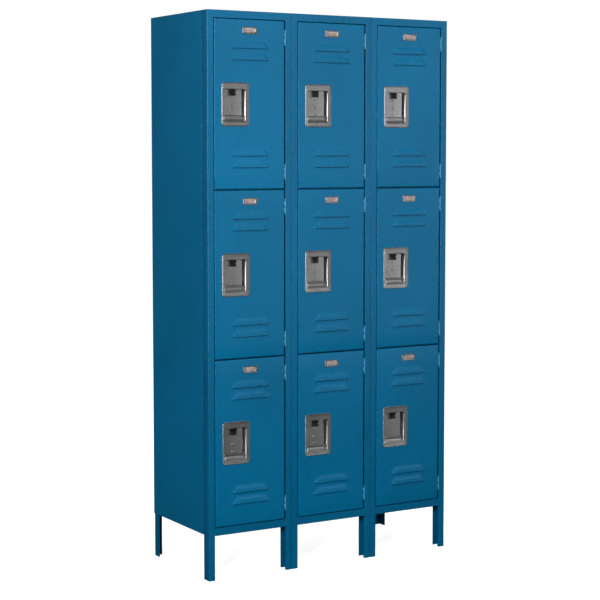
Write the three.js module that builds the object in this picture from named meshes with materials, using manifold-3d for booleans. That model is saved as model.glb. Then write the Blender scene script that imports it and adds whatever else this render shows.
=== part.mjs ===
// A bank of sheet-steel lockers on legs: three units side by side, each with three compartments
// one above another. Every compartment has a hinged, louvred door with a recessed handle pan,
// a finger lift and a number plate. Millimetres, +Z up, doors facing -Y.
import * as THREE from 'three';
import { ConvexGeometry } from 'three/addons/geometries/ConvexGeometry.js';
import { mergeVertices } from 'three/addons/utils/BufferGeometryUtils.js';
import Module from 'manifold-3d';

const wasm = await Module();
wasm.setup();

const QUARTER = Math.PI / 2;

// Overall sizes
const UNITS = 3;
const UNIT_WIDTH = 304.8;
const WIDTH = UNITS * UNIT_WIDTH;
const HEIGHT = 1800;
const DEPTH = 400;
const LEG_HEIGHT = 144;
const TIERS = 3;

// Sheet thicknesses and the gaps that keep neighbouring pieces apart
const FRAME_SHEET = 1.6;
const DOOR_SHEET = 1.5;
const BODY_SHEET = 1.0;
const PAN_SHEET = 1.2;
const GAP = 0.3;

// Front frame of one unit: two channel uprights that run down into the legs, rails between them
const UPRIGHT_FACE = 22;
const UPRIGHT_RETURN = 9;
const FRAME_DEPTH = 38;
const BEND_RADIUS = 2.8;
const BEND_SEGMENTS = 2;
const RAIL_FACE = 24;
const RAIL_LIP = 14;
const CROSS_MEMBER_FRONT = 21;
// Height shared out to each tier between the two rails
const TIER_PITCH = (HEIGHT - LEG_HEIGHT - 2 * RAIL_FACE) / TIERS;

// Doors
const LATCH_SIDE_GAP = 2.5;
const HINGE_SIDE_GAP = 5.8;
const END_GAP = 2;
const DOOR_DEPTH = 18;
const DOOR_LIP = 11;
const DOOR_WIDTH = UNIT_WIDTH - 2 * UPRIGHT_FACE - LATCH_SIDE_GAP - HINGE_SIDE_GAP;

// Butt hinges, two to a door, five knuckles each: three on the frame and two on the door
const HINGE_HEIGHT = 50;
const HINGE_END_DISTANCE = 28;
const KNUCKLES = 5;
const KNUCKLE_RADIUS = 2.4;
const KNUCKLE_GAP = 0.4;
const PIN_RADIUS = 1.1;
const BORE_RADIUS = 1.5;
const BARREL_SIDES = 8;
const HINGE_TAB_FRONT = 0.2;
const HINGE_TAB_BACK = 1.3;
const FRAME_TAB_LAP = 2.2;
const HINGE_AXIS_X = UNIT_WIDTH - UPRIGHT_FACE - HINGE_SIDE_GAP / 2;

// Louvers, two at the top of a door and two at the bottom: hoods that open downward
const LOUVER_BOTTOM_WIDTH = 138;
const LOUVER_TOP_WIDTH = 104;
const LOUVER_HEIGHT = 22;
const LOUVER_PROJECTION = 6;
const LOUVER_PITCH = 36.5;
const UPPER_LOUVER_DROP = 90;
const LOWER_LOUVER_RISE = 68.5;
const LOUVER_SLOT_DROP = 1.2;
const LOUVER_SHEET = 1.2;
// Where a hood's front bends over to its top, as shares of its height and of its projection
const LOUVER_SHOULDER_RISE = 0.45;
const LOUVER_SHOULDER_FRONT = 0.75;

// Recessed handle pan, measured from the door's latch edge and from its middle height
const PAN_LEFT = 25;
const PAN_WIDTH = 98;
const PAN_HEIGHT = 137;
const PAN_CORNER = 8;
const PAN_CORNER_SEGMENTS = 3;
const PAN_FLANGE_LEFT = 6;
const PAN_FLANGE_TOP = 21;
const PAN_FLANGE_BOTTOM = 15;
const PAN_POCKET_WIDTH = 83;
const PAN_DEPTH = 22;
const PAN_HEADROOM = 13;
const PAN_CLEARANCE = 0.8;
const COVER_FRONT = 6;
const COVER_WIDTH = 69;
const COVER_BOTTOM_RISE = 20;
const COVER_TOP_RISE = 8.5;

// Finger lift that slides up in the pan to draw the latch
const LIFT_TRAVEL = 10;
const LIFT_WIDTH = 21.5;
const LIFT_BAR_HEIGHT = 10;
const LIFT_FRONT = 0.4;
const LIFT_TAB_WIDTH = 18;
const LIFT_TAB_HEIGHT = 10;
const LIFT_TAB_FRONT = -4;
const LIFT_TAB_DROP = 0.8;
const LIFT_STEM_WIDTH = 7;
const LIFT_STEM_HEIGHT = 8;
const LIFT_STEM_DROP = 7;
const LIFT_CLEARANCE = 0.6;
const LIFT_SLIDE_WIDTH = 24;
const LIFT_SLIDE_HEIGHT = 24;

// Strike hooks on the latch-side upright, behind the doors
const STRIKE_LENGTH = 14;
const STRIKE_HEIGHT = 30;

// Number plate
const PLATE_WIDTH = 51;
const PLATE_HEIGHT = 22;
const PLATE_DROP = 23.5;
const PLATE_THICKNESS = 1;
const PLATE_CORNER = 3;

// Body sheets and rear legs
const SHEET_LIP = 12;
const SIDE_REAR_LIP = 16;
const REAR_LEG_DEPTH = 33;
const REAR_LEG_WIDTH = 26;
const REAR_LEG_LAP = 70;

const BLUE = { color: 0x1f6a93, roughness: 0.45, metalness: 0.1 };
const DARK_BLUE = { color: 0x195a7e, roughness: 0.5, metalness: 0.1 };
const STAINLESS = { color: 0xc4c4c0, roughness: 0.32, metalness: 0.95 };
const BLACK = { color: 0x17181a, roughness: 0.55, metalness: 0.0 };
const ALUMINIUM = { color: 0xb9bbbd, roughness: 0.38, metalness: 0.9 };

const cabinet = new THREE.Group();
cabinet.position.set(-WIDTH / 2, -(DEPTH - LOUVER_PROJECTION) / 2, 0);

function solidOf(geometry) {
  const bare = geometry.clone();
  bare.deleteAttribute('normal');
  bare.deleteAttribute('uv');
  const merged = mergeVertices(bare);
  const vertProperties = new Float32Array(merged.attributes.position.array);
  const triVerts = new Uint32Array(merged.index.array);
  return new wasm.Manifold(new wasm.Mesh({ numProp: 3, vertProperties, triVerts }));
}

function geometryOf(solid) {
  const mesh = solid.asOriginal().simplify().getMesh();
  const geometry = new THREE.BufferGeometry();
  geometry.setAttribute('position', new THREE.BufferAttribute(mesh.vertProperties, 3));
  geometry.setIndex(new THREE.BufferAttribute(mesh.triVerts, 1));
  geometry.computeVertexNormals();
  return geometry;
}

function join(solids) {
  return solids.reduce((whole, solid) => whole.add(solid));
}

function cut(solid, tools) {
  return tools.reduce((rest, tool) => rest.subtract(tool), solid);
}

// A block between two opposite corners
function block([x0, y0, z0], [x1, y1, z1]) {
  const geometry = new THREE.BoxGeometry(x1 - x0, y1 - y0, z1 - z0);
  geometry.translate((x0 + x1) / 2, (y0 + y1) / 2, (z0 + z1) / 2);
  return solidOf(geometry);
}

// A piece turned about the vertical line at x, from a profile of [radius, height] points
function turned(profile, x) {
  const points = profile.map(([radius, height]) => new THREE.Vector2(radius, height));
  const geometry = new THREE.LatheGeometry(points, BARREL_SIDES);
  geometry.rotateX(QUARTER);
  geometry.translate(x, 0, 0);
  return solidOf(geometry);
}

// A plate in the XZ plane with round corners, between front and back
function roundedPlate([x0, z0], [x1, z1], corner, segments, front, back) {
  const shape = new THREE.Shape();
  shape.moveTo(x0 + corner, z0);
  shape.lineTo(x1 - corner, z0);
  shape.absarc(x1 - corner, z0 + corner, corner, -QUARTER, 0);
  shape.absarc(x1 - corner, z1 - corner, corner, 0, QUARTER);
  shape.absarc(x0 + corner, z1 - corner, corner, QUARTER, 2 * QUARTER);
  shape.absarc(x0 + corner, z0 + corner, corner, 2 * QUARTER, 3 * QUARTER);
  const geometry = new THREE.ExtrudeGeometry(shape, {
    depth: back - front,
    bevelEnabled: false,
    curveSegments: segments,
  });
  geometry.rotateX(QUARTER);
  geometry.translate(0, back, 0);
  return solidOf(geometry);
}

function place(name, solid, finish, x = 0, y = 0, z = 0) {
  const mesh = new THREE.Mesh(geometryOf(solid), new THREE.MeshStandardMaterial(finish));
  mesh.name = name;
  mesh.position.set(x, y, z);
  cabinet.add(mesh);
}

// Section of an upright, bent with round corners: a face, a web on the outer side, a rear lip as
// wide as the face, and a short return along the face's inner edge. The hinge side is its mirror.
function channelShape(hingeSide) {
  const outer = BEND_RADIUS;
  const inner = BEND_RADIUS - FRAME_SHEET;
  const rear = FRAME_DEPTH - outer;
  const innerBend = UPRIGHT_FACE - outer;
  const shape = new THREE.Shape();
  const across = (x) => (hingeSide ? UNIT_WIDTH - x : x) + (hingeSide ? -GAP / 2 : GAP / 2);
  const line = (x, y) => shape.lineTo(across(x), y);
  const bend = (x, y, radius, from, to) => {
    const clockwise = to < from;
    if (hingeSide) {
      shape.absarc(across(x), y, radius, Math.PI - from, Math.PI - to, !clockwise);
    } else {
      shape.absarc(across(x), y, radius, from, to, clockwise);
    }
  };
  shape.moveTo(across(UPRIGHT_FACE), UPRIGHT_RETURN);
  line(UPRIGHT_FACE - FRAME_SHEET, UPRIGHT_RETURN);
  bend(innerBend, outer, inner, 0, -QUARTER);
  bend(outer, outer, inner, -QUARTER, -2 * QUARTER);
  bend(outer, rear, inner, 2 * QUARTER, QUARTER);
  line(UPRIGHT_FACE, FRAME_DEPTH - FRAME_SHEET);
  line(UPRIGHT_FACE, FRAME_DEPTH);
  bend(outer, rear, outer, QUARTER, 2 * QUARTER);
  bend(outer, outer, outer, 2 * QUARTER, 3 * QUARTER);
  bend(innerBend, outer, outer, -QUARTER, 0);
  return shape;
}

// A channel upright of full height, with its web on one side of the unit or the other
function frameUpright(hingeSide) {
  return solidOf(new THREE.ExtrudeGeometry(channelShape(hingeSide), {
    depth: HEIGHT,
    bevelEnabled: false,
    curveSegments: BEND_SEGMENTS,
  }));
}

// Heights of a hinge's knuckles: even ones belong to the frame, odd ones to the door
function knuckleSpan(index, hingeBottom) {
  const pitch = HINGE_HEIGHT / KNUCKLES;
  const bottom = hingeBottom + index * pitch;
  return [bottom + KNUCKLE_GAP / 2, bottom + pitch - KNUCKLE_GAP / 2];
}

function hingeBottoms(doorHeight) {
  return [HINGE_END_DISTANCE, doorHeight - HINGE_END_DISTANCE - HINGE_HEIGHT];
}

function knuckleIndices(remainder) {
  return [...Array(KNUCKLES).keys()].filter((index) => index % 2 === remainder);
}

// Frame half of a hinge: a turned pin with three knuckles, and a tab from each into the upright
function frameHinge(bottom) {
  const knuckles = knuckleIndices(0).map((index) => knuckleSpan(index, bottom));
  const profile = [[0, knuckles[0][0]]];
  const tabs = [];
  for (const [low, high] of knuckles) {
    profile.push([PIN_RADIUS, low], [KNUCKLE_RADIUS, low], [KNUCKLE_RADIUS, high], [PIN_RADIUS, high]);
    tabs.push(block(
      [HINGE_AXIS_X, HINGE_TAB_FRONT, low],
      [HINGE_AXIS_X + HINGE_SIDE_GAP / 2 + FRAME_TAB_LAP, HINGE_TAB_BACK, high],
    ));
  }
  profile.push([0, knuckles.at(-1)[1]]);
  return join([turned(profile, HINGE_AXIS_X), ...tabs]);
}

// Door half of a hinge: two bored knuckles, each on a tab that grows out of the door's edge
function doorHinge(bottom) {
  const x = DOOR_WIDTH + HINGE_SIDE_GAP / 2;
  const middle = (BORE_RADIUS + KNUCKLE_RADIUS) / 2;
  return join(knuckleIndices(1).flatMap((index) => {
    const [low, high] = knuckleSpan(index, bottom);
    const ring = [
      [BORE_RADIUS, low],
      [KNUCKLE_RADIUS, low],
      [KNUCKLE_RADIUS, high],
      [BORE_RADIUS, high],
      [BORE_RADIUS, low],
    ];
    const tab = block(
      [DOOR_WIDTH - DOOR_SHEET / 2, HINGE_TAB_FRONT, low],
      [x - middle, HINGE_TAB_BACK, high],
    );
    return [turned(ring, x), tab];
  }));
}

// Lowest point of each tier's door, and its height
function tierDoors() {
  return [...Array(TIERS).keys()].map((tier) => ({
    bottom: LEG_HEIGHT + RAIL_FACE + tier * TIER_PITCH + END_GAP,
    height: TIER_PITCH - 2 * END_GAP,
  }));
}

// Heights of the joints between one tier and the next
function tierJoints() {
  return tierDoors().slice(1).map((door) => door.bottom - END_GAP);
}

function frameRail(bottom, flangeBottom) {
  const left = FRAME_SHEET;
  const right = UNIT_WIDTH - FRAME_SHEET;
  const lipBottom = flangeBottom === bottom ? bottom + RAIL_FACE - FRAME_SHEET : bottom;
  return join([
    block([left, 0, bottom], [right, FRAME_SHEET, bottom + RAIL_FACE]),
    block([left, 0, flangeBottom], [right, FRAME_DEPTH, flangeBottom + FRAME_SHEET]),
    block([left, 0, lipBottom], [right, RAIL_LIP, lipBottom + FRAME_SHEET]),
  ]);
}

// A cross member behind the joint of two doors, open at the back
function crossMember(z) {
  const left = FRAME_SHEET;
  const right = UNIT_WIDTH - FRAME_SHEET;
  const low = z - RAIL_FACE / 2;
  const high = z + RAIL_FACE / 2;
  return cut(block([left, CROSS_MEMBER_FRONT, low], [right, FRAME_DEPTH, high]), [
    block(
      [0, CROSS_MEMBER_FRONT + FRAME_SHEET, low + FRAME_SHEET],
      [UNIT_WIDTH, FRAME_DEPTH + 1, high - FRAME_SHEET],
    ),
  ]);
}

function strikeHook(z) {
  const x = UPRIGHT_FACE - FRAME_SHEET;
  const front = FRAME_DEPTH - STRIKE_LENGTH;
  return block(
    [x, front, z - STRIKE_HEIGHT / 2],
    [x + FRAME_SHEET, FRAME_DEPTH - FRAME_SHEET / 2, z + STRIKE_HEIGHT / 2],
  );
}

function unitFrame() {
  const pieces = [
    frameUpright(false),
    frameUpright(true),
    frameRail(LEG_HEIGHT, LEG_HEIGHT),
    frameRail(HEIGHT - RAIL_FACE, HEIGHT - FRAME_SHEET),
  ];
  for (const joint of tierJoints()) {
    pieces.push(crossMember(joint));
  }
  for (const door of tierDoors()) {
    pieces.push(strikeHook(door.bottom + door.height / 2));
    for (const bottom of hingeBottoms(door.height)) {
      pieces.push(frameHinge(door.bottom + bottom));
    }
  }
  return join(pieces);
}

// Hood of a louver, grown by a margin; z is its lower edge
function louverHood(z, margin, back, drop) {
  const bottomHalf = LOUVER_BOTTOM_WIDTH / 2 - margin;
  const topHalf = LOUVER_TOP_WIDTH / 2 - margin;
  const top = z + LOUVER_HEIGHT - margin;
  const low = z - drop;
  const front = -LOUVER_PROJECTION + margin;
  const shoulder = z + LOUVER_HEIGHT * LOUVER_SHOULDER_RISE;
  const shoulderFront = front * LOUVER_SHOULDER_FRONT;
  const middle = DOOR_WIDTH / 2;
  const points = [];
  for (const side of [-1, 1]) {
    points.push(new THREE.Vector3(middle + side * bottomHalf, back, low));
    points.push(new THREE.Vector3(middle + side * topHalf, back, top));
    points.push(new THREE.Vector3(middle + side * (bottomHalf - LOUVER_PROJECTION), front, low));
    points.push(new THREE.Vector3(middle + side * (topHalf - margin), shoulderFront, shoulder));
  }
  return solidOf(new ConvexGeometry(points));
}

function louverHeights(doorHeight) {
  return [
    LOWER_LOUVER_RISE,
    LOWER_LOUVER_RISE + LOUVER_PITCH,
    doorHeight - UPPER_LOUVER_DROP - LOUVER_PITCH,
    doorHeight - UPPER_LOUVER_DROP,
  ];
}

// Opening of the pan in its flange, as [left, bottom] and [right, top] on the door
function pocketCorners(middle) {
  const left = PAN_LEFT + PAN_FLANGE_LEFT;
  const bottom = middle - PAN_HEIGHT / 2 + PAN_FLANGE_BOTTOM;
  const top = middle + PAN_HEIGHT / 2 - PAN_FLANGE_TOP;
  return [[left, bottom], [left + PAN_POCKET_WIDTH, top]];
}

function doorPanel(height) {
  const shell = cut(block([0, 0, 0], [DOOR_WIDTH, DOOR_DEPTH, height]), [
    block(
      [DOOR_SHEET, DOOR_SHEET, DOOR_SHEET],
      [DOOR_WIDTH - DOOR_SHEET, DOOR_DEPTH - DOOR_SHEET, height - DOOR_SHEET],
    ),
    block([DOOR_LIP, DOOR_SHEET, DOOR_SHEET], [DOOR_WIDTH - DOOR_LIP, DOOR_DEPTH + 1, height - DOOR_SHEET]),
  ]);
  const [[left, bottom], [right, top]] = pocketCorners(height / 2);
  const room = PAN_SHEET + PAN_CLEARANCE;
  const panHole = block(
    [left - room, -1, bottom - room],
    [right + room, DOOR_SHEET + 1, top + PAN_HEADROOM + room],
  );
  const hoods = louverHeights(height).map((z) => louverHood(z, 0, DOOR_SHEET / 2, 0));
  const slots = louverHeights(height).map(
    (z) => louverHood(z, LOUVER_SHEET, DOOR_SHEET + 1, LOUVER_SLOT_DROP),
  );
  const hinges = hingeBottoms(height).map(doorHinge);
  return cut(join([shell, ...hoods, ...hinges]), [panHole, ...slots]);
}

// The pan's flange lies on the door; its tub reaches back, and up behind the flange for the lift
function handlePan(height) {
  const middle = height / 2;
  const [[left, bottom], [right, top]] = pocketCorners(middle);
  const front = -GAP - PAN_SHEET;
  const tubTop = top + PAN_HEADROOM;
  const flange = roundedPlate(
    [PAN_LEFT, middle - PAN_HEIGHT / 2],
    [PAN_LEFT + PAN_WIDTH, middle + PAN_HEIGHT / 2],
    PAN_CORNER,
    PAN_CORNER_SEGMENTS,
    front,
    -GAP,
  );
  const tub = block(
    [left - PAN_SHEET, front + PAN_SHEET / 2, bottom - PAN_SHEET],
    [right + PAN_SHEET, PAN_DEPTH + PAN_SHEET, tubTop + PAN_SHEET],
  );
  const hollow = block([left, -GAP, bottom], [right, PAN_DEPTH, tubTop]);
  const mouth = roundedPlate([left, bottom], [right, top], PAN_CORNER / 2, 1, front - 1, PAN_SHEET);
  const coverBottom = bottom + COVER_BOTTOM_RISE;
  const coverTop = top + COVER_TOP_RISE;
  const cover = block(
    [left - PAN_SHEET / 2, COVER_FRONT, coverBottom],
    [left + COVER_WIDTH, COVER_FRONT + PAN_SHEET, coverTop],
  );
  const fold = block(
    [left + COVER_WIDTH - PAN_SHEET, COVER_FRONT, coverBottom],
    [left + COVER_WIDTH, PAN_DEPTH + PAN_SHEET / 2, coverTop],
  );
  const stemTop = top - LIFT_STEM_DROP;
  const slotHalf = LIFT_STEM_WIDTH / 2 + LIFT_CLEARANCE;
  const slotMiddle = left + COVER_WIDTH / 2;
  const slot = block(
    [slotMiddle - slotHalf, COVER_FRONT - 1, stemTop - LIFT_STEM_HEIGHT - LIFT_CLEARANCE],
    [slotMiddle + slotHalf, COVER_FRONT + PAN_SHEET + 1, stemTop + LIFT_TRAVEL + LIFT_CLEARANCE],
  );
  const shell = cut(join([flange, tub]), [hollow, mouth]);
  return join([shell, cut(cover, [slot]), fold]);
}

// The lift: a bar and a finger tab in front of the pan's cover, a stem, and a slide behind the cover
function fingerLift(height) {
  const [[left], [, top]] = pocketCorners(height / 2);
  const middle = left + COVER_WIDTH / 2;
  const stemTop = top - LIFT_STEM_DROP;
  const knobBack = COVER_FRONT - LIFT_CLEARANCE;
  const slideFront = COVER_FRONT + PAN_SHEET + LIFT_CLEARANCE;
  const slideMiddle = stemTop - LIFT_STEM_HEIGHT / 2;
  return join([
    block(
      [middle - LIFT_WIDTH / 2, LIFT_FRONT, top - LIFT_BAR_HEIGHT],
      [middle + LIFT_WIDTH / 2, knobBack, top],
    ),
    block(
      [middle - LIFT_TAB_WIDTH / 2, LIFT_TAB_FRONT, top - LIFT_BAR_HEIGHT - LIFT_TAB_HEIGHT],
      [middle + LIFT_TAB_WIDTH / 2, knobBack, top - LIFT_BAR_HEIGHT - LIFT_TAB_DROP],
    ),
    block(
      [middle - LIFT_STEM_WIDTH / 2, LIFT_FRONT, top - LIFT_BAR_HEIGHT - LIFT_TAB_HEIGHT],
      [middle + LIFT_STEM_WIDTH / 2, knobBack, top],
    ),
    block(
      [middle - LIFT_STEM_WIDTH / 2, knobBack - 1, stemTop - LIFT_STEM_HEIGHT],
      [middle + LIFT_STEM_WIDTH / 2, slideFront + 1, stemTop],
    ),
    block(
      [middle - LIFT_SLIDE_WIDTH / 2, slideFront, slideMiddle - LIFT_SLIDE_HEIGHT / 2],
      [middle + LIFT_SLIDE_WIDTH / 2, slideFront + DOOR_SHEET, slideMiddle + LIFT_SLIDE_HEIGHT / 2],
    ),
  ]);
}

function numberPlate(height) {
  const middle = DOOR_WIDTH / 2;
  const top = height - PLATE_DROP;
  return roundedPlate(
    [middle - PLATE_WIDTH / 2, top - PLATE_HEIGHT],
    [middle + PLATE_WIDTH / 2, top],
    PLATE_CORNER,
    1,
    -GAP - PLATE_THICKNESS,
    -GAP,
  );
}

// A sheet with its four edges turned down, such as a shelf; z is its upper face
function flangedSheet([x0, y0], [x1, y1], z, overhang) {
  const lipBottom = z - SHEET_LIP;
  const lips = cut(
    block([x0 + overhang, y0, lipBottom], [x1 - overhang, y1, z - BODY_SHEET / 2]),
    [block(
      [x0 + overhang + BODY_SHEET, y0 + BODY_SHEET, lipBottom - 1],
      [x1 - overhang - BODY_SHEET, y1 - BODY_SHEET, z],
    )],
  );
  return join([lips, block([x0, y0, z - BODY_SHEET], [x1, y1, z])]);
}

// An outer side sheet, flush with the frame's web, with its rear edge turned inward
function sidePanel(mirrored) {
  const outer = GAP / 2;
  const inner = outer + BODY_SHEET;
  const top = HEIGHT - BODY_SHEET - GAP;
  const span = (from, to) => (mirrored ? [WIDTH - to, WIDTH - from] : [from, to]);
  const [x0, x1] = span(outer, inner);
  const [lip0, lip1] = span(outer, outer + SIDE_REAR_LIP);
  return join([
    block([x0, FRAME_DEPTH + GAP, LEG_HEIGHT], [x1, DEPTH, top]),
    block([lip0, DEPTH - BODY_SHEET, LEG_HEIGHT], [lip1, DEPTH, HEIGHT - SHEET_LIP - GAP]),
  ]);
}

function rearLeg(mirrored) {
  const outer = BODY_SHEET + 2 * GAP;
  const back = DEPTH - 2 * BODY_SHEET - 3 * GAP;
  const top = LEG_HEIGHT + REAR_LEG_LAP;
  const span = (from, to) => (mirrored ? [WIDTH - to, WIDTH - from] : [from, to]);
  const [web0, web1] = span(outer, outer + FRAME_SHEET);
  const [lip0, lip1] = span(outer, outer + REAR_LEG_WIDTH);
  return join([
    block([web0, back - REAR_LEG_DEPTH, 0], [web1, back, top]),
    block([lip0, back - FRAME_SHEET, 0], [lip1, back, top]),
  ]);
}

// Clear width inside one unit between its two upright sheets
function unitInside(unit) {
  const left = unit * UNIT_WIDTH;
  const outerSheet = BODY_SHEET + 2 * GAP;
  const dividerHalf = BODY_SHEET / 2 + GAP;
  const x0 = unit === 0 ? left + outerSheet : left + dividerHalf;
  const x1 = unit === UNITS - 1 ? left + UNIT_WIDTH - outerSheet : left + UNIT_WIDTH - dividerHalf;
  return [x0, x1];
}

function buildUnit(unit) {
  const left = unit * UNIT_WIDTH;
  const number = unit + 1;
  const [x0, x1] = unitInside(unit);
  const front = FRAME_DEPTH + GAP;
  const back = DEPTH - 2 * BODY_SHEET - 2 * GAP;
  place(`unit_${number}_frame`, unitFrame(), BLUE, left);

  const backLow = LEG_HEIGHT + GAP;
  const backHigh = HEIGHT - SHEET_LIP - GAP;
  const backFront = back + GAP;
  place(
    `unit_${number}_back_panel`,
    block([x0, backFront, backLow], [x1, backFront + BODY_SHEET, backHigh]),
    DARK_BLUE,
  );

  const topOverhang = SHEET_LIP / 2;
  place(
    `unit_${number}_top_panel`,
    flangedSheet([left + GAP / 2, front], [left + UNIT_WIDTH - GAP / 2, DEPTH], HEIGHT, topOverhang),
    BLUE,
  );
  const floorBack = back - FRAME_SHEET - GAP;
  const floorLeft = unit === 0 ? x0 + FRAME_SHEET + GAP : x0;
  const floorRight = unit === UNITS - 1 ? x1 - FRAME_SHEET - GAP : x1;
  place(
    `unit_${number}_bottom_panel`,
    flangedSheet([floorLeft, front], [floorRight, floorBack], LEG_HEIGHT + SHEET_LIP + GAP, 0),
    BLUE,
  );
  tierJoints().forEach((joint, index) => {
    place(
      `unit_${number}_shelf_${index + 1}`,
      flangedSheet([x0, front], [x1, back], joint + RAIL_FACE / 2, 0),
      BLUE,
    );
  });
}

function buildDoor(unit, tier, { bottom, height }) {
  const x = unit * UNIT_WIDTH + UPRIGHT_FACE + LATCH_SIDE_GAP;
  const name = `door_${unit + 1}_${tier + 1}`;
  place(`${name}_panel`, doorPanel(height), BLUE, x, 0, bottom);
  place(`${name}_handle_pan`, handlePan(height), STAINLESS, x, 0, bottom);
  place(`${name}_finger_lift`, fingerLift(height), BLACK, x, 0, bottom);
  place(`${name}_number_plate`, numberPlate(height), ALUMINIUM, x, 0, bottom);
}

for (let unit = 0; unit < UNITS; unit += 1) {
  buildUnit(unit);
  tierDoors().forEach((door, tier) => buildDoor(unit, tier, door));
}
place('left_side_panel', sidePanel(false), BLUE);
place('right_side_panel', sidePanel(true), BLUE);
for (let divider = 1; divider < UNITS; divider += 1) {
  const middle = divider * UNIT_WIDTH;
  place(
    `divider_${divider}`,
    block(
      [middle - BODY_SHEET / 2, FRAME_DEPTH + GAP, LEG_HEIGHT],
      [middle + BODY_SHEET / 2, DEPTH - GAP, HEIGHT - SHEET_LIP - GAP],
    ),
    BLUE,
  );
}
place('left_rear_leg', rearLeg(false), BLUE);
place('right_rear_leg', rearLeg(true), BLUE);

export default cabinet;
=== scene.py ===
"""Looks of a steel locker cabinet, three units wide and three tiers high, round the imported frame."""
import math

import bmesh
import bpy
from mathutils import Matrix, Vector


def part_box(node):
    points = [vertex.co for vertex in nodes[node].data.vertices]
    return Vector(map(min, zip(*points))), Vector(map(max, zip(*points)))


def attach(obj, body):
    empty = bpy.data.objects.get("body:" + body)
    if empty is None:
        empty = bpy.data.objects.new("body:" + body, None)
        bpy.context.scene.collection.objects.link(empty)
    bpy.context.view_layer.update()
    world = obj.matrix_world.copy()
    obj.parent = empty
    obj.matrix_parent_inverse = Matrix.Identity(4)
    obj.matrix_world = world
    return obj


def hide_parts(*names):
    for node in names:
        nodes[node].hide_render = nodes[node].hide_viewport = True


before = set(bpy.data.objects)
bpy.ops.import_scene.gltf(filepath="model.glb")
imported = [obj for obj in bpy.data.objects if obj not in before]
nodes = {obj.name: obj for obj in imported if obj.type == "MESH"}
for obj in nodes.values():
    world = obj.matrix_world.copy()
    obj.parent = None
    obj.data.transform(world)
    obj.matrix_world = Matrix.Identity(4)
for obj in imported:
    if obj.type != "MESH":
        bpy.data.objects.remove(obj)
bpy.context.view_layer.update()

MM = 0.001
UNITS = 3
TIERS = 3

# Door sheet, in millimetres from the door's lower left corner, y back from its face
DOOR_WIDTH = 252.5
DOOR_DEPTH = 18
DOOR_SHEET = 1.5
DOOR_LIP = 11
DOOR_BEND = 3.5
LIP_BEND = 2
BEND_STEPS = 5
HINGE_GAP = 5.8

# Louvers: a hood with slanted ends, torn free along its lower edge
LOUVER_BOTTOM_WIDTH = 138
LOUVER_TOP_WIDTH = 104
LOUVER_HEIGHT = 22
LOUVER_PROJECTION = 6
LOUVER_PITCH = 36.5
HOOD_RISE = 4.4
HOOD_SHOULDER = 0.45
HOOD_TILT = 0.15
LOUVER_END = 8
LOUVER_ROWS = 10
LOUVER_COLUMNS = 8
LOUVER_MARGIN = 14
LOUVER_SPACE = 5
LOUVER_FLANK = 12
UPPER_LOUVER_DROP = 90
LOWER_LOUVER_RISE = 68.5

# Handle pan, in millimetres from the door's left edge and its mid height
PAN_LEFT = 25
PAN_WIDTH = 98
PAN_HEIGHT = 137
PAN_CORNER = 9
PAN_SHEET = 1.2
PAN_FLANGE_LEFT = 6
PAN_FLANGE_TOP = 21
PAN_FLANGE_BOTTOM = 15
PAN_MOUTH_WIDTH = 83
PAN_MOUTH_CORNER = 7
PAN_DEPTH = 22
PAN_HEADROOM = 13
PAN_STEPS = 8
HOLE_MARGIN = 2
COVER_FRONT = 6
COVER_WIDTH = 69
COVER_BOTTOM_RISE = 20
COVER_TOP_RISE = 8.5
COVER_FOLD = 2.6
PAN_FACE = -1.3
MOUTH_LIP = 2.4
WALL_BEND = 6.0
TOP_LIP = 1.0
SCOOP_FRONT = 0.2
SCOOP_DEPTH = 4.4
SCOOP_RIDGE = 1.0
SCOOP_END = 9.0

# Finger lift
LIFT_WIDTH = 21.5
LIFT_BAR_HEIGHT = 10
LIFT_TAB_WIDTH = 18
LIFT_TAB_HEIGHT = 10
LIFT_TAB_FRONT = -4
LIFT_TAB_DROP = 0.8
LIFT_CLEARANCE = 0.6
LIFT_STEM_DROP = 7
LIFT_STEM_WIDTH = 7
LIFT_STEM_HEIGHT = 8
LIFT_SLIDE_WIDTH = 24
LIFT_TRAVEL = 10

# Hinges
HINGE_HEIGHT = 50
HINGE_END_DISTANCE = 28
KNUCKLES = 5
KNUCKLE_RADIUS = 2.4
KNUCKLE_GAP = 0.4
KNUCKLE_SIDES = 20
SLEEVE_SKIN = 0.06

# Number plate
PLATE_WIDTH = 51
PLATE_HEIGHT = 22
PLATE_BORDER = 6.8
PLATE_RIVET_SPREAD = 21.8
PLATE_CORNER = 4

# Bolts in the outer uprights: their distance behind a frame's front, and their heights from the floor
BOLT_RADIUS = 3.7
BOLT_HOLE = 4.3
BOLT_BACK = 28
BOLT_HEIGHTS = (1502, 718, 458)

# Camera, in millimetres, degrees and metres
CAMERA_LENS = 97.47
CAMERA_SENSOR = 36
CAMERA_SHIFT = -0.05
CAMERA_HEADING = 30.83
CAMERA_PITCH = -4.17
CAMERA_EYE = (-2.8064, -4.6940, 1.3606)

# Studio
FLOOR_HALF = 60.0
FLOOR_DROP = 0.0002
HORIZON_LOW = -0.15
HORIZON_HIGH = 0.12
WORLD_ABOVE = 0.24
WORLD_BELOW = 0.05
WORLD_SHINE = 0.25
FLOOR_GLOW = 0.84
KEY_POWER = 23
CARD_POWER = 9
STRIP_POWER = 178
FILL_POWER = 45
SOFTBOX_POWER = 260
EDGE_POWER = 18


# ---------------------------------------------------------------- camera, light and floor

def aim(obj, location, target):
    obj.location = Vector(location)
    obj.rotation_mode = "QUATERNION"
    obj.rotation_quaternion = (Vector(target) - Vector(location)).to_track_quat("-Z", "Y")


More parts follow.
